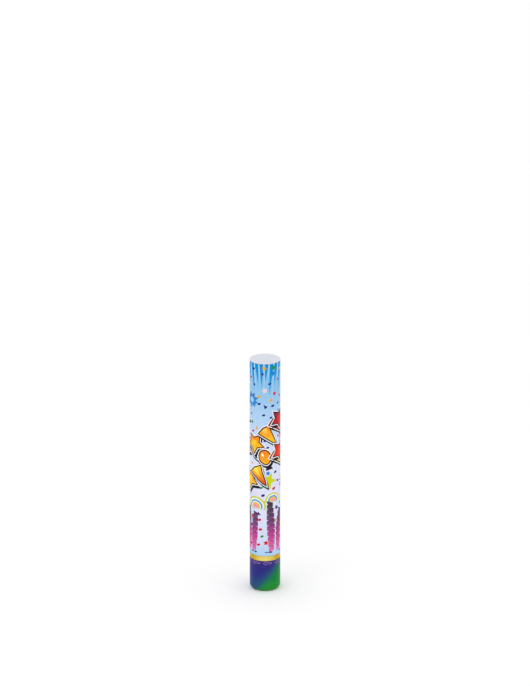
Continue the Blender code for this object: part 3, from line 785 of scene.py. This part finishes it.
labelSheet = {
    **label, "left": -0.5 * roundLength, "right": 0.5 * roundLength + label["lap"],
    "low": labelFoot, "high": labelTop,
    "rows": levelsBetween(labelFoot, labelTop, label["rowStep"]),
}
labelMesh = printedMesh(labelSheet, labelMotifs(), labelGround, labelPlace)
linkPiece("label_print", labelMesh, printedSheet("varnishedLabel", 0.4, 0.04, 520, 0.5),
          ["label_wrap"], "barrel")
print("popper: label printed, %d faces" % len(labelMesh.polygons))


# The printed film on the base, which turns in under the round bottom edge

film = {
    "thickness": 0.3, "columns": 128, "rowStep": 5,
    "rounding": 8.3, "roundingStep": 1.2,  # outer radius, and the distance of its rows
    "turnIn": 60,  # degrees past upright
    "seam": 0.08,  # gap between the film's ends, at the back
    # Violet blue on the left runs into green on the lower right, by height
    "blue": [(0, ink(34, 82, 126)), (30, ink(40, 44, 126)), (56, ink(52, 36, 120))],
    "green": [(0, ink(34, 142, 40)), (24, ink(0, 128, 54)), (56, ink(0, 118, 52))],
    "between": ink(36, 84, 112),
    "slant": 0.95, "slantStart": (1.8, 24), "blend": (0.2, 0.82),
    "arrowCount": 8, "arrowShift": 0.2, "arrowLevel": 49.6,
    "arrow": (-13.5, 4.6, 2, 0.3),
    "arrowInks": (ink(50, 40, 118), ink(50, 60, 124)),
    "arrowEdge": ink(176, 132, 166), "arrowRim": 0.5,
}
bend, turnIn = film["rounding"], radians(film["turnIn"])
roundingTop = filmLow.z / mm + bend * sin(turnIn)
filmFoot, filmTop = roundingTop - bend * turnIn, filmHigh.z / mm


def filmGround(x, y):
    startX, startY = film["slantStart"]
    across = x - startX - film["slant"] * (y - startY)
    place = 0.5 + 0.5 * sin(2 * pi * across / roundLength)
    low, high = film["blend"]
    share = eased((place - low) / (high - low))
    if share < 0.5:
        return blended(along(film["blue"], y), film["between"], 2 * share)
    return blended(film["between"], along(film["green"], y), 2 * share - 1)


def filmPlace(x, y):
    # Below the straight wall, the print's height runs on round the bottom edge
    depth = roundingTop - y
    if depth <= 0:
        return roundPoint(x, outerRadius, y * mm)
    angle = depth / bend
    radius = outerRadius / mm - bend + bend * cos(angle)
    return roundPoint(x, radius * mm, (roundingTop - bend * sin(angle)) * mm)


def filmMotifs():
    found = []
    for arrow in arrowRow(film):
        addMotif(found, grown(arrow, film["arrowRim"]), film["arrowEdge"])
        addMotif(found, arrow, *film["arrowInks"])
    return found


filmSheet = {
    **film, "left": 0.5 * (film["seam"] - roundLength),
    "right": 0.5 * (roundLength - film["seam"]), "low": filmFoot, "high": filmTop,
    "rows": levelsBetween(filmFoot, roundingTop + 0.01, film["roundingStep"])
    + [roundingTop] + levelsBetween(roundingTop, filmTop, film["rowStep"]),
}
filmMesh = printedMesh(filmSheet, filmMotifs(), filmGround, filmPlace)
linkPiece("base_print", filmMesh, printedSheet("glossyFilm", 0.32, 0.05, 700, 0.8),
          ["base_wrap"], "base")
print("popper: base film printed, %d faces" % len(filmMesh.polygons))


# Foil band, mouth cap, board tube and felt

band = {"steps": 128, "wall": 0.3, "edge": 0.15, "beadHeight": 0.12, "beadHalf": 0.4,
        "beadInset": 1.1}
cap = {"steps": 128, "edge": 0.5, "skirt": 4, "wall": 1, "play": 0.3, "rimWidth": 1.6,
       "rimSlope": 0.5, "rimDip": 0.15, "gateRadius": 1.6, "gateDepths": (0.25, 0.22),
       "bevel": 0.4}
tube = {"steps": 128, "edge": 0.35, "turnWidth": 0.062, "wall": 1.7, "labelGap": 0.02}
felt = {"steps": 72, "rings": 9, "edge": 1.2, "fuzz": 0.28, "seed": 7}


def bandOutline():
    outer, low, high = bandHigh.x, bandLow.z, bandHigh.z
    bead, half, inset = (band[key] * mm for key in ("beadHeight", "beadHalf", "beadInset"))
    edge, inner = band["edge"] * mm, outer - band["wall"] * mm
    outline = [(inner, low)] + arc(outer - bead - edge, low + edge, edge, -90, 0, 4)
    for level in (low + inset, high - inset):
        outline += [(outer - bead, level - half), (outer - 0.3 * bead, level - 0.5 * half),
                    (outer, level), (outer - 0.3 * bead, level + 0.5 * half),
                    (outer - bead, level + half)]
    outline += arc(outer - bead - edge, high - edge, edge, 0, 90, 4) + [(inner, high)]
    return outline[::-1]


def capOutline():
    outer, low, top = capHigh.x, capLow.z, capHigh.z
    plate = low + cap["skirt"] * mm
    edge, rim, gate, bevel = (cap[key] * mm for key in ("edge", "rimWidth", "gateRadius", "bevel"))
    dish = top - cap["rimDip"] * mm
    skirt = tubeHigh.x - (tube["wall"] + cap["play"]) * mm
    bore = skirt - cap["wall"] * mm
    deep, shallow = cap["gateDepths"]
    outline = [(0, dish - deep * mm), (0.6 * gate, dish - shallow * mm), (gate, dish),
               (outer - rim - cap["rimSlope"] * mm, dish), (outer - rim, top)]
    outline += arc(outer - edge, top - edge, edge, 90, 0, 5)
    outline += [(outer, plate), (skirt, plate), (skirt, low + bevel), (skirt - bevel, low),
                (bore, low), (bore, plate - bevel), (bore - bevel, plate), (0, plate)]
    return outline


def tubeOutline():
    bore = tubeHigh.x - tube["wall"] * mm
    outer = outerRadius - label["thickness"] * mm - tube["labelGap"] * mm  # it carries the label
    edge = tube["edge"] * mm
    outline = [(bore, tubeLow.z)]
    outline += arc(outer - edge, tubeLow.z + edge, edge, -90, 0, 3)
    outline += arc(outer - edge, tubeHigh.z - edge, edge, 0, 90, 3)
    outline += arc(bore + 0.5 * edge, tubeHigh.z - 0.5 * edge, 0.5 * edge, 90, 180, 2)
    return outline[::-1]


def feltMesh():
    outer, low, high = feltHigh.x, feltLow.z, feltHigh.z
    edge, rings = felt["edge"] * mm, felt["rings"]
    inner = [(outer - edge) * i / rings for i in range(rings)]
    outline = [(r, high) for r in inner] + arc(outer - edge, high - edge, edge, 90, 0, 3)
    outline += [(outer, 0.5 * (low + high))] + arc(outer - edge, low + edge, edge, 0, -90, 3)
    outline += [(r, low) for r in inner[::-1]]
    mesh = turnedMesh(outline, felt["steps"])
    rng = random.Random(felt["seed"])
    for vertex in mesh.vertices:
        sink = rng.random() * felt["fuzz"] * mm
        spot = vertex.co
        if spot.z > high - nearly:
            spot.z -= sink
        elif spot.z < low + nearly:
            spot.z += sink
        else:
            share = 1 - 0.5 * sink / spot.xy.length
            spot.x, spot.y = spot.x * share, spot.y * share
    return mesh


# The first foil colour is a painted highlight, and the second is a painted shade at the sides as
# well as the colour of the patches
linkPiece("foil_band", turnedMesh(bandOutline(), band["steps"], True),
          crinkledFoil("goldFoil", ink(234, 216, 118), ink(196, 160, 6)),
          ["gold_band"], "base")
linkPiece("mouth_lid", turnedMesh(capOutline(), cap["steps"]),
          mouldedPlastic("palePlastic", ink(213, 216, 226), ink(203, 207, 219), 0.5),
          ["mouth_cap"], "cap")
linkPiece("board_tube", turnedMesh(tubeOutline(), tube["steps"], True),
          fibreBoard("woundBoard", ink(196, 180, 156), ink(160, 142, 116), tube["turnWidth"]),
          ["barrel_tube"], "barrel")
linkPiece("felt_pad", feltMesh(), woolFelt("greyWool", ink(150, 148, 146), ink(92, 90, 92)),
          ["felt_wad"], "wad")
print("popper: band, cap, tube and felt turned")


# Confetti. At rest the discs stand on edge in rows in the bore, one row over another. Each goes
# a share of a leading disc's way, by its place in its row, so the shot's end shows the burst

confetti = {
    "count": 640, "rows": 10, "boreRadius": 22.3,
    "radius": 9, "thickness": 0.04, "sides": 24,
    "slots": 90,  # places along a row
    "reach": 19.6,  # the row's half length
    "sideways": 13.3,  # and its half width
    "swings": (-6, 19, -25, 9, -15, 29, 2, -31, 13, -11),
    "leans": (16, 9, 22, 27, 12, 19, 6, 21, 14, 25),
    "riserShare": 0.09,  # of the discs, straight up with the cap's or the charge's slide
    "leastRise": 20,  # how far over the mouth the lowest discs end, at least
    "tries": 60,
    "spacing": (12.5, 14),  # wanted distance in the middle, and what the edge adds
    "depthShare": 0.4,  # how much distance away from the viewer counts
    "seed": 20,
}
tissueInks = [ink(*rgb) for rgb in (
    (126, 230, 4), (98, 205, 0), (150, 216, 66), (178, 250, 96), (40, 245, 50), (30, 178, 58),
    (80, 200, 100), (84, 150, 0), (136, 182, 70), (184, 168, 36), (30, 156, 150), (108, 178, 182),
    (64, 240, 236), (176, 232, 238), (98, 40, 206), (140, 96, 214), (178, 158, 218),
    (206, 70, 250), (206, 120, 222), (252, 162, 196), (206, 20, 96), (196, 14, 26),
    (252, 146, 66), (242, 240, 150), (228, 250, 10), (226, 206, 250))]
cloud = {"mouth": 395, "lowest": 14, "height": 447, "halfWidth": 228, "margin": 4,
         "throat": 16, "flare": 1.2}

# Where each slide in the barrel takes its body by the end of its range
flights = {joint["child"]: Vector(joint["axis"]).normalized() * joint["range_m"][1]
           for joint in frame["joints"]
           if joint["type"] == "slide" and joint["parent"] == "barrel"}
leads = sorted(name for name in flights if name.startswith("lead"))
rowHeight = (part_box("confetti_lead_01")[1].z - stackLow.z) / confetti["rows"]


def edgeShare(spot):
    # 0 on the burst's middle line, 1 at its edge, more outside it
    up = spot.z / mm - cloud["mouth"]
    half = 0.5 * cloud["height"]
    share = (up - half) / (half - cloud["margin"])
    if up < cloud["lowest"] or abs(share) >= 1:
        return 2
    width = min(cloud["halfWidth"] * sqrt(1 - share * share),
                cloud["throat"] + cloud["flare"] * up)
    return max(spot.xy.length / mm / (width - confetti["radius"]), abs(share))


def easedBack(weight):
    return 0.5 - sin(asin(1 - 2 * weight) / 3)


def makeRow(index):
    swing, lean = (radians(confetti[key][index]) for key in ("swings", "leans"))
    flat = Vector((sin(swing), -cos(swing), 0))
    row = {"index": index, "flat": flat, "lean": lean,
           "side": Vector((cos(swing), sin(swing), 0)),
           "normal": flat * cos(lean) + Vector((0, 0, sin(lean))),
           "level": stackLow.z + (index + 0.5) * rowHeight,
           "free": list(range(confetti["slots"])), "plans": {}}
    # Every second lead serves a row, and the next row has the others
    names = leads[index % 2::2] + ["cap" if index % 2 else "charge"]
    for i, name in enumerate(names):
        # The lowest weight that still carries a disc out of the mouth
        rise = cloud["mouth"] * mm + confetti["leastRise"] * mm - row["level"]
        least = min(max(rise / flights[name].z, 0.1), 0.95)
        row["plans"][name] = {"least": easedBack(least), "discs": [],
                              "way": -1 if (i + index // 2) % 2 else 1}
    return row


def fitsBore(offset, sideways, lean):
    size = 2 * confetti["radius"]
    return all(hypot(sideways + x, offset - y * sin(lean)) <= confetti["boreRadius"]
               for x, y in ring(size, size, 16))


def tryDisc(rows, rng):
    # A random free place, with where the shot takes it
    row = rng.choice(rows)
    slot = rng.choice(row["free"])
    names = list(row["plans"])
    name = rng.choice(names[:-1])
    if rng.random() < confetti["riserShare"]:
        name = names[-1]
    offset = confetti["reach"] * (2 * (slot + 0.5) / confetti["slots"] - 1)
    sideways = rng.uniform(-confetti["sideways"], confetti["sideways"])
    if not fitsBore(offset, sideways, row["lean"]):
        return None
    centre = (row["flat"] * offset + row["side"] * sideways) * mm
    centre.z = row["level"]
    plan = row["plans"][name]
    share = 0.5 + 0.5 * plan["way"] * offset / confetti["reach"]
    weight = eased(plan["least"] + (1 - plan["least"]) * share)
    return row, slot, plan, centre, centre + flights[name] * weight


def packBurst(rng):
    # Fills the burst evenly: of many tries, the one farthest from all the others is taken
    rows = [makeRow(i) for i in range(confetti["rows"])]
    taken = np.empty((confetti["count"], 3))
    wanted, more = confetti["spacing"]
    scale = np.array([1, confetti["depthShare"], 1]) / mm
    for count in range(confetti["count"]):
        best, bestScore = None, -1
        for _ in range(confetti["tries"]):
            found = tryDisc(rows, rng)
            edge = edgeShare(found[-1]) if found else 2
            if edge > 1:
                continue
            spot = np.array(found[-1]) * scale
            gap = np.sqrt(((taken[:count] - spot) ** 2).sum(1).min()) if count else 1000
            score = gap / (wanted + more * edge ** 2)
            if score > bestScore:
                best, bestScore = found, score
        row, slot, plan, centre, final = best
        taken[count] = np.array(final) * scale
        row["free"].remove(slot)
        plan["discs"].append((centre, rng.choice(tissueInks)))
    return rows


def discMesh(discs, normal):
    shape = bmesh.new()
    layer = shape.loops.layers.float_color.new("ink")
    turn = normal.to_track_quat("Z", "Y").to_matrix().to_4x4()
    size, half = 2 * confetti["radius"] * mm, 0.5 * confetti["thickness"] * mm
    outline = ring(size, size, confetti["sides"])
    for centre, colour in discs:
        place = Matrix.Translation(centre) @ turn
        top, bottom = ([shape.verts.new(place @ Vector((x, y, level))) for x, y in outline]
                       for level in (half, -half))
        faces = [shape.faces.new(top), shape.faces.new(bottom[::-1])]
        faces += [shape.faces.new(side) for side in zip(top, bottom, bottom[1:] + bottom[:1],
                                                        top[1:] + top[:1])]
        for face in faces:
            for loop in face.loops:
                loop[layer] = colour
    mesh = bpy.data.meshes.new("discs")
    shape.to_mesh(mesh)
    shape.free()
    return mesh


tissue = tissuePaper("tissuePaper")
stackNames = sorted(name for name in nodes if name.startswith("confetti_stack"))
for row in packBurst(random.Random(confetti["seed"])):
    for carrier, plan in sorted(row["plans"].items()):
        if not plan["discs"]:
            continue
        name = "confetti_%s_row_%02d" % (carrier, row["index"] + 1)
        piece = linkPiece(name, discMesh(plan["discs"], row["normal"]), tissue,
                          ["confetti_" + carrier] if carrier in leads else stackNames)
        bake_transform(piece)


# Finishes of the CAD pieces inside: kind, name, colour and patches in screen values, and more

insideFinishes = {
    "base_cup": (mouldedPlastic, "navyCup", (44, 44, 118), (36, 36, 100), 0.45),
    "coupler_tube": (mouldedPlastic, "couplerPlastic", (222, 222, 220), (206, 206, 204), 0.5),
    "bottle_cradle": (mouldedPlastic, "cradlePlastic", (212, 212, 208), (196, 196, 192), 0.55),
    "gas_bottle": (workedMetal, "drawnSteel", (196, 198, 202), (168, 170, 176), 0.28, (6, 6, 1)),
    "cam_ring": (mouldedPlastic, "orangeCam", (236, 122, 34), (218, 104, 24), 0.4),
    "bearing_sleeve": (mouldedPlastic, "slipSleeve", (238, 238, 234), (224, 224, 218), 0.35),
    "guide_sleeve": (mouldedPlastic, "guidePlastic", (236, 232, 216), (222, 216, 198), 0.4),
    "gas_baffle": (mouldedPlastic, "bafflePlastic", (210, 212, 216), (194, 196, 202), 0.45),
    "valve_plug": (workedMetal, "turnedBrass", (214, 178, 104), (186, 146, 78), 0.26, (1, 1, 12)),
    "plug_o_ring": (softRubber, "blackRubber", (30, 30, 32), (44, 44, 46)),
    "lift_yoke": (mouldedPlastic, "blueYoke", (46, 108, 196), (36, 94, 178), 0.4),
    "yoke_clip": (workedMetal, "springSteel", (150, 152, 158), (112, 114, 120), 0.32, (3, 3, 3)),
    "piston_cup": (fibreBoard, "pressedBoard", (176, 154, 124), (140, 118, 90)),
}
for nodeName, (build, name, colour, patch, *values) in insideFinishes.items():
    dress(nodes[nodeName].data, build(name, ink(*colour), ink(*patch), *values))
print("popper: %d inside finishes set" % len(insideFinishes))


# Floor, light and camera

studio = {
    "floorSize": 44,
    "floorColour": (0.985, 0.985, 0.99, 1),
    "floorPatch": (0.97, 0.97, 0.975, 1),
    "skyColour": (1, 1, 1, 1), "skyStrength": 1,
    # Each light has a power, a size and a place, and all point at the aim
    "lights": {"key": (24, 3.2, (-2.6, -3.4, 4.2)), "fill": (5, 3, (3.4, -2.6, 2.4))},
    "aim": (0, 0, 0.25),
}
view = {"distance": 14, "elevation": 19.5, "aimHeight": 0.4218, "pixel": 1.618, "frameWidth": 530,
        "sensor": 36, "farthest": 120}


def buildFloor():
    half = 0.5 * studio["floorSize"]
    mesh = bpy.data.meshes.new("floor")
    mesh.from_pydata([(-half, -half, 0), (half, -half, 0), (half, half, 0), (-half, half, 0)], [],
                     [(0, 1, 2, 3)])
    material, tree, where = newFinish("paleFloor", Roughness=0.85)
    tint = addTint(tree, where, studio["floorColour"], studio["floorPatch"], 1.5, 0.5)
    setInputs(tree.nodes["Principled BSDF"], {"Base Color": tint})
    mesh.materials.append(material)
    addObject("floor", mesh)


def addAreaLight(name, power, size, place):
    data = bpy.data.lights.new(name, "AREA")
    data.energy, data.shape, data.size = power, "SQUARE", size
    light = addObject(name, data)
    light.location = place
    aim = Vector(studio["aim"]) - Vector(place)
    light.rotation_euler = aim.to_track_quat("-Z", "Y").to_euler()


def buildCamera():
    data = bpy.data.cameras.new("camera")
    data.sensor_fit, data.sensor_width = "HORIZONTAL", view["sensor"]
    frameMetres = view["frameWidth"] * view["pixel"] * mm
    data.lens = view["sensor"] * view["distance"] / frameMetres
    data.clip_end = view["farthest"]
    camera = addObject("camera", data)
    tilt = radians(view["elevation"])
    back = Vector((0, -cos(tilt), sin(tilt)))
    camera.location = Vector((0, 0, view["aimHeight"])) + back * view["distance"]
    camera.rotation_euler = (-back).to_track_quat("-Z", "Y").to_euler()
    scene.camera = camera


buildFloor()
world = bpy.data.worlds.new("studio")
world.use_nodes = True
setInputs(world.node_tree.nodes["Background"], {"Color": studio["skyColour"],
                                                "Strength": studio["skyStrength"]})
scene.world = world
for lightName, settings in studio["lights"].items():
    addAreaLight(lightName, *settings)
buildCamera()
scene.view_settings.view_transform = "Standard"
print("popper: floor, lights and camera set")
